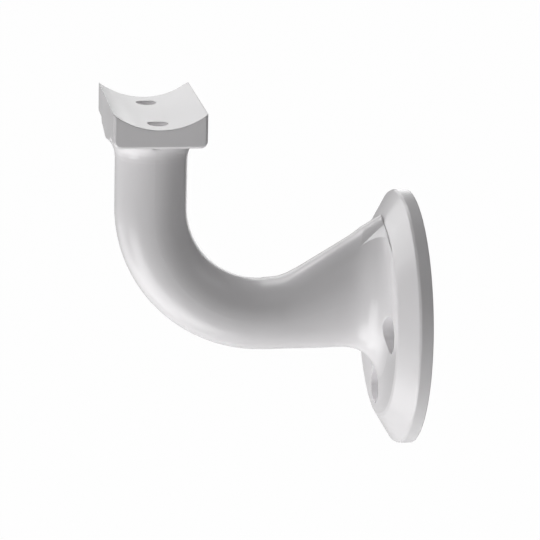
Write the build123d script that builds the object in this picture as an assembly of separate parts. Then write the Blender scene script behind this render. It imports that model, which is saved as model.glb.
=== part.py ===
"""Handrail standoff bracket, cast in one piece: a round wall plate, a bent arm and a rail saddle.

Frame: the wall is the XZ plane, with the origin at the centre of the plate's back face.
The arm stands off the wall along -Y, turns upwards to +Z, and the rail runs along X.
Sizes are in millimetres.
"""
import os
from math import cos, radians, sin, sqrt, tan

from build123d import *

# Wall plate
PLATE_D = 73.4  # outside diameter
PLATE_T = 8.6  # wall to the flat land that the screw heads seat on
RIM_T = 3.7  # height of the plain cylindrical edge
LAND_D = 57.3  # diameter of the flat land, where the bevel begins
RIM_CHAMFER = 0.4  # broken edge between the rim and the bevel
LAND_CHAMFER = 0.6  # broken edge between the land and the bevel

# Wall screws: one on each side of the arm and one below it
SIDE_SCREW_SPACING = 39.0
LOWER_SCREW_DROP = 20.6  # below the plate's centre
SCREW_D = 5.5
SCREW_HEAD_D = 10.6
SCREW_HEAD_DEPTH = 2.0  # straight wall of the head's recess, above the countersink

# Arm
REACH = 75.0  # wall to the upright part of the arm, and to the rail
ARM_D = 20.5
ARM_RISE = 1.45  # level part of the arm above the plate's centre
BEND_R = 32.2  # bend radius on the arm's centre line

# Root of the arm: the underside stays level while the top ridge climbs to the plate
RIDGE_R = 20.0  # concave radius at the foot of the ridge
RIDGE_ANGLE = 32.1  # climb of the ridge's straight part
ROOT_FLARE = 10.0  # concave radius that spreads the root on to the land
FLARE_CLIMB = 0.4  # share of the flare's spread that it gains above the ridge
FLARE_END_DRAFT = 38.0  # slope of the wall that ends the flare at the land's edge
RIDGE_COVER = 0.5  # how far the ridge stays whole outside that wall

# Saddle under the rail
RAIL_D = 42.4
SADDLE_L = 46.2  # along the rail
SADDLE_W = 25.8  # across the rail
SADDLE_TOP = 64.7  # long top edges above the plate's centre
SADDLE_FLOOR_T = 5.2  # thickness below the lowest line of the rail
SADDLE_LONG_ROUND = 2.0  # lower long edges
SADDLE_END_CHAMFER = 0.6  # upright corners and lower short edges
NECK_BLEND = 7.0  # concave radius between the arm and the saddle's underside

# Rail screws, in line along the rail
RAIL_SCREW_D = 5.8
RAIL_SCREW_SPACING = 29.0

# Fineness of the curved shapes
SECTION_STEP = 4.2  # spacing of the root's sections along the arm
FLARE_STEPS = 5  # sections round the root's flare
NECK_STEPS = 10  # cones that make up the neck's blend
SEAM = 0.03  # how far the neck stands proud of the arm, and how far the flare runs into the plate
EDGE_REACH = 0.1  # how close to a plane an edge of that plane lies

# Worked out from the sizes above
ARM_R = ARM_D / 2
BEND_Y = BEND_R - REACH
BEND_Z = ARM_RISE + BEND_R
FLARE_Y = -PLATE_T - ROOT_FLARE
CLIMB = radians(RIDGE_ANGLE)
RAIL_R = RAIL_D / 2
RAIL_Z = SADDLE_TOP + sqrt(RAIL_R**2 - (SADDLE_W / 2) ** 2)
SADDLE_BOTTOM = RAIL_Z - RAIL_R - SADDLE_FLOOR_T
NECK_Z = SADDLE_BOTTOM - NECK_BLEND


def ridge_height(y):
    """Height of the arm's top ridge at a distance -y from the wall."""
    low = ARM_RISE + ARM_R
    foot = BEND_Y + RIDGE_R * sin(CLIMB)
    if y <= foot:
        return low + RIDGE_R - sqrt(RIDGE_R**2 - (y - BEND_Y) ** 2)
    return low + RIDGE_R * (1 - cos(CLIMB)) + tan(CLIMB) * (y - foot)


def root_section(y, spread, cover=0):
    """Upright section through the root, from the level underside to the ridge."""
    top = ridge_height(y) + FLARE_CLIMB * spread + cover
    bottom = ARM_RISE - ARM_R - spread
    plane = Plane(origin=(0, y, (top + bottom) / 2), x_dir=(1, 0, 0), z_dir=(0, 1, 0))
    half = (ARM_R + spread, (top - bottom) / 2)
    quarters = [EllipticalCenterArc((0, 0), *half, start_angle=turn, arc_size=90) for turn in (0, 90, 180, 270)]
    return plane * make_face(quarters)


def spaced(start, end):
    """Evenly spaced values from start up to, but not at, end."""
    count = max(1, round(abs(end - start) / SECTION_STEP))
    return [start + (end - start) * step / count for step in range(count)]


def make_bend():
    """Round bar: the upright part, which runs into the neck, and the bend below it."""
    top = NECK_Z + NECK_BLEND / 2
    upright = Pos(0, -REACH, (BEND_Z + top) / 2) * Cylinder(ARM_R, top - BEND_Z)
    plane = Plane(origin=(0, -REACH, BEND_Z), x_dir=(1, 0, 0), z_dir=(0, 0, -1))
    return upright + revolve(plane * Circle(ARM_R), Axis((0, BEND_Y, BEND_Z), (1, 0, 0)), 90)


def make_flared_root():
    """Skin from the bend's end to the plate, spreading until it lies flat on the land."""
    sections = [root_section(y, 0) for y in spaced(BEND_Y, FLARE_Y)]
    for step in range(FLARE_STEPS + 1):
        a = radians(90 * step / FLARE_STEPS)
        y = FLARE_Y + (ROOT_FLARE + SEAM) * sin(a)
        sections.append(root_section(y, ROOT_FLARE * (1 - cos(a))))
    return loft(sections)


def beyond_land():
    """Everything above the bevel that lies outside the land, less the arm's own ridge."""
    draft = ROOT_FLARE * tan(radians(FLARE_END_DRAFT))
    outline = Polyline(
        (LAND_D / 2, -PLATE_T),
        (LAND_D / 2 - draft, FLARE_Y),
        (PLATE_D, FLARE_Y),
        (PLATE_D, -RIM_T),
        (PLATE_D / 2, -RIM_T),
        close=True,
    )
    ridge = [root_section(y, 0, RIDGE_COVER) for y in spaced(FLARE_Y - SECTION_STEP, 0)]
    return revolve(make_face(outline), Axis.Y) - loft(ridge)


def make_neck():
    """Round blend between the arm and the saddle, cut off at the saddle's sides."""
    inner = ARM_R + SEAM
    outer = inner + NECK_BLEND
    turns = [radians(90 * step / NECK_STEPS) for step in range(NECK_STEPS + 1)]
    blend = [(outer - NECK_BLEND * cos(a), NECK_Z + NECK_BLEND * sin(a)) for a in turns]
    top = SADDLE_BOTTOM + SADDLE_LONG_ROUND
    outline = Polyline(*blend, (outer + SADDLE_LONG_ROUND, top), (0, top), (0, NECK_Z), close=True)
    neck = Pos(0, -REACH, 0) * revolve(Plane.XZ * make_face(outline), Axis.Z)
    return neck & Pos(0, -REACH, NECK_Z) * Box(SADDLE_L, SADDLE_W, 4 * NECK_BLEND)


def make_plate():
    """Round plate: a plain rim, a straight bevel and a flat land."""
    outline = Polyline(
        (0, 0),
        (PLATE_D / 2, 0),
        (PLATE_D / 2, -RIM_T),
        (LAND_D / 2, -PLATE_T),
        (0, -PLATE_T),
        close=True,
    )
    profile = make_face(outline)
    rim = profile.vertices().filter_by_position(Axis.Y, -RIM_T, -RIM_T)
    profile = chamfer(rim, RIM_CHAMFER)
    land = profile.vertices().filter_by_position(Axis.X, LAND_D / 2, LAND_D / 2)
    profile = chamfer(land, LAND_CHAMFER)
    return revolve(profile, Axis.Y)


def make_saddle():
    """Block with soft lower edges on the neck, hollowed along X to take the rail."""
    centre = (0, -REACH, (SADDLE_TOP + SADDLE_BOTTOM) / 2)
    block = Pos(*centre) * Box(SADDLE_L, SADDLE_W, SADDLE_TOP - SADDLE_BOTTOM)
    lower = block.edges().filter_by(Axis.X).filter_by_position(Axis.Z, NECK_Z, SADDLE_BOTTOM + EDGE_REACH)
    block = fillet(lower, SADDLE_LONG_ROUND)
    for end in (-SADDLE_L / 2, SADDLE_L / 2):
        outline = block.edges().filter_by_position(Axis.X, end - EDGE_REACH, end + EDGE_REACH)
        lower = outline.filter_by_position(Axis.Z, NECK_Z, SADDLE_TOP - EDGE_REACH)
        block = chamfer(lower, SADDLE_END_CHAMFER)
    rail = Pos(0, -REACH, RAIL_Z) * Rot(0, 90, 0) * Cylinder(RAIL_R, 2 * SADDLE_L)
    return block + make_neck() - rail


def wall_screw_holes():
    """Plain holes with countersinks in straight recesses, and clear room above them for the screw heads."""
    seat = SCREW_HEAD_DEPTH - PLATE_T
    neck = seat + (SCREW_HEAD_D - SCREW_D) / 2
    clear = -PLATE_T - 2 * ROOT_FLARE
    outline = Polyline(
        (0, PLATE_T),
        (SCREW_D / 2, PLATE_T),
        (SCREW_D / 2, neck),
        (SCREW_HEAD_D / 2, seat),
        (SCREW_HEAD_D / 2, clear),
        (0, clear),
        close=True,
    )
    hole = revolve(make_face(outline), Axis.Y)
    out = SIDE_SCREW_SPACING / 2
    return [Pos(x, 0, z) * hole for x, z in ((out, 0), (-out, 0), (0, -LOWER_SCREW_DROP))]


def rail_screw_holes():
    """Plain through holes in the saddle's floor."""
    hole = Cylinder(RAIL_SCREW_D / 2, 4 * SADDLE_FLOOR_T)
    places = [side * RAIL_SCREW_SPACING / 2 for side in (-1, 1)]
    return [Pos(x, -REACH, SADDLE_BOTTOM) * hole for x in places]


def make_bracket():
    """The whole casting as one solid."""
    root = make_flared_root() - beyond_land()
    body = make_plate() + root + make_bend() + make_saddle()
    for hole in wall_screw_holes() + rail_screw_holes():
        body = body - hole
    return body


os.makedirs("parts", exist_ok=True)
export_step(make_bracket(), "parts/bracket.step")
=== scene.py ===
"""Studio picture of a cast handrail bracket in a white powder coat.

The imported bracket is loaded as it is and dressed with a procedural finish. A floor, soft lamps and a
camera at the photograph's viewing angle are added round it. Lengths are in metres, in the bracket's own
frame: the wall is the XZ plane, the arm stands off it along -Y, and the rail runs along X.
"""
from __future__ import annotations

import logging
import math
from dataclasses import dataclass, field
from enum import Enum
from typing import Any

import bpy
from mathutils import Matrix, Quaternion, Vector


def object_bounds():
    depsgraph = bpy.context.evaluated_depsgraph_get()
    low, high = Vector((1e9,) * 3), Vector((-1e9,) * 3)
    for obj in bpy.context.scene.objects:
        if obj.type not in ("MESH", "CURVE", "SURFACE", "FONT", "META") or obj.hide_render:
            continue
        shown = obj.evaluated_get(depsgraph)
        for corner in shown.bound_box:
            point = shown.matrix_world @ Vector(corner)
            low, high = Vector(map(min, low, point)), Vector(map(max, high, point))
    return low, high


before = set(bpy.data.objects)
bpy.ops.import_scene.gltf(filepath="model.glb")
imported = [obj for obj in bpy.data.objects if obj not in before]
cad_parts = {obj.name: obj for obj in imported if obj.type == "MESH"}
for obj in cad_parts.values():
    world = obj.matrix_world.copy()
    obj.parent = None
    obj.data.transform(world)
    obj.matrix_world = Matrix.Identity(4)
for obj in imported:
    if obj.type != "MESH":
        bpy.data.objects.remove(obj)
CAD_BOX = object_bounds()

LOG = logging.getLogger("handrail_bracket")
METRE = 1.0
MILLIMETRE = 0.001 * METRE
NOISE_MIDDLE = 0.5

Triple = tuple[float, float, float]
Colour = tuple[float, float, float, float]

WHITE: Colour = (1.0, 1.0, 1.0, 1.0)


class NodeKind(Enum):
    """Shader nodes that the finishes use."""

    PRINCIPLED = "ShaderNodeBsdfPrincipled"
    DIFFUSE = "ShaderNodeBsdfDiffuse"
    EMISSION = "ShaderNodeEmission"
    BACKGROUND = "ShaderNodeBackground"
    MIX_SHADER = "ShaderNodeMixShader"
    MATERIAL_OUTPUT = "ShaderNodeOutputMaterial"
    WORLD_OUTPUT = "ShaderNodeOutputWorld"
    COORDINATES = "ShaderNodeTexCoord"
    SEPARATE = "ShaderNodeSeparateXYZ"
    NOISE = "ShaderNodeTexNoise"
    MATH = "ShaderNodeMath"
    MIX = "ShaderNodeMix"
    BUMP = "ShaderNodeBump"
    BEVEL = "ShaderNodeBevel"
    LIGHT_PATH = "ShaderNodeLightPath"


class Operation(Enum):
    """Arithmetic that the finishes use."""

    ADD = "ADD"
    SUBTRACT = "SUBTRACT"
    MULTIPLY = "MULTIPLY"
    ABSOLUTE = "ABSOLUTE"
    MAXIMUM = "MAXIMUM"


class Graph:
    """A node tree that is filled by one method."""

    def __init__(self, tree: bpy.types.NodeTree) -> None:
        """Empties the tree.

        Args:
            tree: node tree of a material or a world.
        """
        self.tree = tree
        self.tree.nodes.clear()

    def node(
        self, kind: NodeKind, settings: dict[str, Any] | None = None, **sockets: Any
    ) -> bpy.types.Node:
        """Adds a node.

        Args:
            kind: the node to add.
            settings: properties of the node, which are set first.
            sockets: values or links by socket name, with _ for a space.

        Returns:
            The new node.
        """
        made = self.tree.nodes.new(kind.value)
        for name, value in (settings or {}).items():
            setattr(made, name, value)
        for name, value in sockets.items():
            self.join(made, name.replace("_", " "), value)
        return made

    def join(self, node: bpy.types.Node, name: str | int, value: Any) -> None:
        """Sets or links one enabled input.

        Args:
            node: node that owns the input.
            name: name or index of the input.
            value: a number, a colour, a socket or a Field.
        """
        if isinstance(name, int):
            entry = node.inputs[name]
        else:
            entry = next(one for one in node.inputs if one.name == name and one.enabled)
        if isinstance(value, Field):
            value = value.socket
        if isinstance(value, bpy.types.NodeSocket):
            self.tree.links.new(value, entry)
        else:
            entry.default_value = value

    def field(self, node: bpy.types.Node, name: str) -> Field:
        """Wraps an output so that it can be used in expressions.

        Args:
            node: node that owns the output.
            name: name of the output.

        Returns:
            The wrapped output.
        """
        return Field(self, next(one for one in node.outputs if one.name == name and one.enabled))

    def place(self) -> bpy.types.NodeSocket:
        """Place on the object, in its own frame."""
        return self.node(NodeKind.COORDINATES).outputs["Object"]

    def mix(
        self, share: Field, first: bpy.types.NodeSocket, second: bpy.types.NodeSocket
    ) -> bpy.types.NodeSocket:
        """Mixes two shaders, which follow the share among the inputs.

        Args:
            share: how much of the second shader shows.
            first: shader that shows at a share of 0.
            second: shader that shows at a share of 1.

        Returns:
            The mixed shader.
        """
        mixed = self.node(NodeKind.MIX_SHADER, Fac=share)
        for index, shader in enumerate((first, second), start=1):
            self.join(mixed, index, shader)
        return mixed.outputs["Shader"]


class Field:
    """A value over the surface. Arithmetic on it adds Math nodes."""

    def __init__(self, graph: Graph, socket: bpy.types.NodeSocket) -> None:
        """Wraps a socket.

        Args:
            graph: graph that owns the socket.
            socket: output that carries the value.
        """
        self.graph = graph
        self.socket = socket

    def _math(self, operation: Operation, *values: Field | float) -> Field:
        """Adds one Math node.

        Args:
            operation: what the node works out.
            values: one or two values, in order.

        Returns:
            The result.
        """
        node = self.graph.node(NodeKind.MATH, {"operation": operation.value})
        for index, value in enumerate(values):
            self.graph.join(node, index, value)
        return Field(self.graph, node.outputs[0])

    def __add__(self, other: Field | float) -> Field:
        """Sum."""
        return self._math(Operation.ADD, self, other)

    def __radd__(self, other: float) -> Field:
        """Sum with a number on the left."""
        return self._math(Operation.ADD, other, self)

    def __sub__(self, other: Field | float) -> Field:
        """Difference."""
        return self._math(Operation.SUBTRACT, self, other)

    def __rsub__(self, other: float) -> Field:
        """Difference from a number on the left."""
        return self._math(Operation.SUBTRACT, other, self)

    def __mul__(self, other: Field | float) -> Field:
        """Product."""
        return self._math(Operation.MULTIPLY, self, other)

    def __rmul__(self, other: float) -> Field:
        """Product with a number on the left."""
        return self._math(Operation.MULTIPLY, other, self)

    def __abs__(self) -> Field:
        """Size without the sign."""
        return self._math(Operation.ABSOLUTE, self)

    def at_least(self, least: float) -> Field:
        """The value, or the least one where the value is below it."""
        return self._math(Operation.MAXIMUM, self, least)

    def near(self, centre: float, reach: float) -> Field:
        """One at a value, falling evenly to nought on both sides of it.

        Args:
            centre: value at which the result is one.
            reach: distance from it at which the result is nought.

        Returns:
            A share from 0 to 1.
        """
        away = abs(self - centre)
        return (1 - away * (1 / reach)).at_least(0)


@dataclass(frozen=True)
class Unevenness:
    """One kind of unevenness in a coat: the size of its cells, its finer layers and its depth."""

    size: float
    detail: float
    depth: float = 0.0

    def over(self, graph: Graph) -> Field:
        """Spreads the unevenness over the object.

        Args:
            graph: graph to add to.

        Returns:
            Noise from 0 to 1.
        """
        noise = graph.node(NodeKind.NOISE, Vector=graph.place(), Scale=1 / self.size, Detail=self.detail)
        return graph.field(noise, "Fac")


@dataclass(frozen=True)
class PowderCoat:
    """White powder coat on a casting: fine orange peel, faint mottling and soft edges.

    It is softest across the join where the arm's bend ends and its root begins.
    """

    name: str = "white_powder_coat"
    colour: Colour = (0.806, 0.792, 0.802, 1.0)
    shade: Colour = (0.776, 0.763, 0.775, 1.0)
    roughness: float = 0.24
    roughness_spread: float = 0.08
    mottle: Unevenness = Unevenness(size=14 * MILLIMETRE, detail=3.0)
    peel: Unevenness = Unevenness(size=1.1 * MILLIMETRE, detail=1.0, depth=0.012 * MILLIMETRE)
    grain: Unevenness = Unevenness(size=0.28 * MILLIMETRE, detail=2.0, depth=0.003 * MILLIMETRE)
    edge_radius: float = 0.45 * MILLIMETRE
    edge_samples: int = 8
    bend_end: float = -42.8 * MILLIMETRE
    bend_reach: float = 7 * MILLIMETRE
    bend_softness: float = 6 * MILLIMETRE

    def material(self) -> bpy.types.Material:
        """Makes the finish.

        Returns:
            The new material.
        """
        made = bpy.data.materials.new(self.name)
        made.use_nodes = True
        graph = Graph(made.node_tree)
        mottle = self.mottle.over(graph)
        peel = self.peel.over(graph)
        grain = self.grain.over(graph)
        colour = graph.node(
            NodeKind.MIX, {"data_type": "RGBA"}, Factor=mottle, A=self.colour, B=self.shade
        )
        dulling = (mottle - NOISE_MIDDLE) + (grain - NOISE_MIDDLE)
        height = self.peel.depth * peel + self.grain.depth * grain
        shader = graph.node(
            NodeKind.PRINCIPLED,
            Base_Color=graph.field(colour, "Result"),
            Roughness=self.roughness + self.roughness_spread * dulling,
            Normal=self._relief(graph, height),
        )
        graph.node(NodeKind.MATERIAL_OUTPUT, Surface=shader.outputs["BSDF"])
        return made

    def _relief(self, graph: Graph, height: Field) -> bpy.types.NodeSocket:
        """Softens the edges and the join beside the bend, and raises the coat's unevenness.

        Args:
            graph: graph to add to.
            height: height of the unevenness, in metres.

        Returns:
            The direction that the surface faces.
        """
        along = graph.field(graph.node(NodeKind.SEPARATE, Vector=graph.place()), "Y")
        beside_bend = along.near(self.bend_end, self.bend_reach)
        radius = self.edge_radius + self.bend_softness * beside_bend
        soft = graph.node(NodeKind.BEVEL, {"samples": self.edge_samples}, Radius=radius)
        bump = graph.node(NodeKind.BUMP, Distance=METRE, Height=height, Normal=soft.outputs["Normal"])
        return bump.outputs["Normal"]


@dataclass
class Bracket:
    """The one-piece bracket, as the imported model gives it."""

    node: str = "bracket"
    coat: PowderCoat = field(default_factory=PowderCoat)

    def dress(self) -> bpy.types.Object:
        """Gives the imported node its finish.

        Returns:
            The dressed object.
        """
        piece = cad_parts[self.node]
        material = self.coat.material()
        if not piece.material_slots:
            piece.data.materials.append(material)
        for slot in piece.material_slots:
            slot.material = material
        return piece


@dataclass(frozen=True)
class Backdrop:
    """Plain white round the bracket: the camera sees it in full, and a gloss shows a share of it."""

    colour: Colour = WHITE
    strength: float = 1.0
    share_in_gloss: float = 0.2

    def seen(self, graph: Graph) -> Field:
        """How far a ray sees the white.

        Args:
            graph: graph to add to.

        Returns:
            A share from 0 to 1.
        """
        path = graph.node(NodeKind.LIGHT_PATH)
        straight = graph.field(path, "Is Camera Ray") + graph.field(path, "Is Transmission Ray")
        return straight + self.share_in_gloss * graph.field(path, "Is Glossy Ray")


@dataclass(frozen=True)
class StudioFloor:
    """Plain pale floor far below the bracket, which hangs on a wall."""

    name: str = "studio_floor"
    side: float = 12.0
    drop: float = 0.5
    colour: Colour = (0.82, 0.82, 0.82, 1.0)
    backdrop: Backdrop = Backdrop()
    backdrop_share: float = 0.99

    def build(self) -> bpy.types.Object:
        """Makes the floor.

        Returns:
            The floor.
        """
        level = CAD_BOX[0].z - self.drop
        bpy.ops.object.select_all(action="DESELECT")
        bpy.ops.mesh.primitive_plane_add(size=self.side, location=(0, 0, level))
        floor = bpy.context.active_object
        floor.name = self.name
        floor.data.materials.append(self._material())
        return floor

    def _material(self) -> bpy.types.Material:
        """Matt floor that shows mostly white to the camera and keeps its shadows.

        Returns:
            The new material.
        """
        made = bpy.data.materials.new(self.name)
        made.use_nodes = True
        graph = Graph(made.node_tree)
        matt = graph.node(NodeKind.DIFFUSE, Color=self.colour)
        white = graph.node(
            NodeKind.EMISSION, Color=self.backdrop.colour, Strength=self.backdrop.strength
        )
        share = self.backdrop_share * self.backdrop.seen(graph)
        mixed = graph.mix(share, matt.outputs["BSDF"], white.outputs["Emission"])
        graph.node(NodeKind.MATERIAL_OUTPUT, Surface=mixed)
        return made


@dataclass(frozen=True)
class Surround:
    """Surround that shows the white backdrop and gives no light of its own."""

    name: str = "studio_surround"
    light: float = 0.0
    backdrop: Backdrop = Backdrop()

    def build(self) -> None:
        """Makes the world."""
        world = bpy.data.worlds.new(self.name)
        world.use_nodes = True
        graph = Graph(world.node_tree)
        colour = self.backdrop.colour
        unlit = graph.node(NodeKind.BACKGROUND, Color=colour, Strength=self.light)
        white = graph.node(NodeKind.BACKGROUND, Color=colour, Strength=self.backdrop.strength)
        share = self.backdrop.seen(graph)
        mixed = graph.mix(share, unlit.outputs["Background"], white.outputs["Background"])
        graph.node(NodeKind.WORLD_OUTPUT, Surface=mixed)
        bpy.context.scene.world = world


@dataclass(frozen=True)
class SoftBox:
    """Square soft lamp that faces the bracket.

    The bearing is in degrees from the front, which is +X, and is positive towards the wall. The height is
    in degrees above level. The watts are for a lamp at the full distance, and the spread is the lamp's side
    as a share of its distance. A lamp that isn't in the gloss lights the coat but isn't mirrored in it. No
    lamp reaches further below the aim than the floor room.
    """

    name: str
    bearing: float
    height: float
    watts: float
    spread: float = 0.5
    in_gloss: bool = True
    distance: float = 1.0
    floor_room: float = 0.53
    aim: Triple = (0.0, -0.04, 0.01)

    def _reach(self) -> float:
        """Distance from the aim, cut short where the lamp would touch the floor.

        Returns:
            The distance in metres.
        """
        turn = math.radians(self.height)
        sink = self.spread / 2 * math.cos(turn) - math.sin(turn)
        return min(self.distance, self.floor_room / sink) if sink > 0 else self.distance

    def _away(self) -> Vector:
        """Direction from the aim to the lamp.

        Returns:
            A direction of length one.
        """
        turn = math.radians(self.bearing)
        rise = math.radians(self.height)
        level = math.cos(rise)
        return Vector((math.cos(turn) * level, math.sin(turn) * level, math.sin(rise)))

    def build(self) -> None:
        """Adds the lamp."""
        reach = self._reach()
        away = self._away()
        lamp = bpy.data.lights.new(self.name, "AREA")
        lamp.shape = "SQUARE"
        lamp.size = self.spread * reach
        lamp.energy = self.watts * (reach / self.distance) ** 2
        holder = bpy.data.objects.new(self.name, lamp)
        bpy.context.scene.collection.objects.link(holder)
        holder.location = Vector(self.aim) + reach * away
        holder.rotation_mode = "QUATERNION"
        holder.rotation_quaternion = (-away).to_track_quat("-Z", "Y")
        holder.visible_camera = False
        holder.visible_glossy = self.in_gloss


@dataclass(frozen=True)
class Viewpoint:
    """Camera at the photograph's viewing angle.

    The roll is in degrees. The sensor and the lens are in millimetres.
    """

    name: str = "photo_camera"
    place: Triple = (0.70904, -0.15492, 0.20843)
    aim: Triple = (0.0, -0.04169, 0.02287)
    roll: float = 1.477
    sensor: float = 36.0
    lens: float = 173.33
    shift: tuple[float, float] = (0.00695, -0.0534)

    def build(self) -> None:
        """Adds the camera and makes it the scene's own."""
        data = bpy.data.cameras.new(self.name)
        data.sensor_width = self.sensor
        data.lens = self.lens
        data.shift_x, data.shift_y = self.shift
        camera = bpy.data.objects.new(self.name, data)
        bpy.context.scene.collection.objects.link(camera)
        camera.location = self.place
        camera.rotation_mode = "QUATERNION"
        look = (Vector(self.aim) - Vector(self.place)).to_track_quat("-Z", "Y")
        camera.rotation_quaternion = look @ Quaternion((0, 0, 1), math.radians(self.roll))
        bpy.context.scene.camera = camera


LAMPS = (
    SoftBox("front_left", bearing=-45, height=20, watts=2.5, spread=0.9),
    SoftBox("front_top", bearing=0, height=60, watts=0.6),
    SoftBox("front_low", bearing=-5, height=-15, watts=0.8, spread=0.9),
    SoftBox("left_low", bearing=-70, height=-35, watts=2.6),
    SoftBox("left_below", bearing=-100, height=-50, watts=1.8),
    SoftBox("below", bearing=-50, height=-60, watts=2.4),
    SoftBox("back_left_low", bearing=-120, height=-30, watts=0.8),
    SoftBox("back_left", bearing=-130, height=15, watts=1.9),
    SoftBox("back_left_level", bearing=-150, height=6, watts=0.6, spread=0.3),
    SoftBox("back_left_high", bearing=-145, height=35, watts=1.4, spread=0.35),
    SoftBox("back_top", bearing=-170, height=55, watts=2.2),
    SoftBox("back", bearing=180, height=20, watts=1.1),
    SoftBox("back_right", bearing=155, height=0, watts=1.2),
    SoftBox("right_high", bearing=75, height=35, watts=0.6),
    SoftBox("behind_plate", bearing=95, height=-25, watts=3.5, spread=0.3, in_gloss=False),
)


def main() -> None:
    """Builds the picture."""
    logging.basicConfig(level=logging.INFO, format="%(message)s")
    bpy.context.scene.view_settings.view_transform = "Standard"
    piece = Bracket().dress()
    LOG.info("dressed %s", piece.name)
    floor = StudioFloor().build()
    LOG.info("laid %s", floor.name)
    Surround().build()
    for lamp in LAMPS:
        lamp.build()
        LOG.info("hung %s", lamp.name)
    Viewpoint().build()


if __name__ == "__main__":
    main()
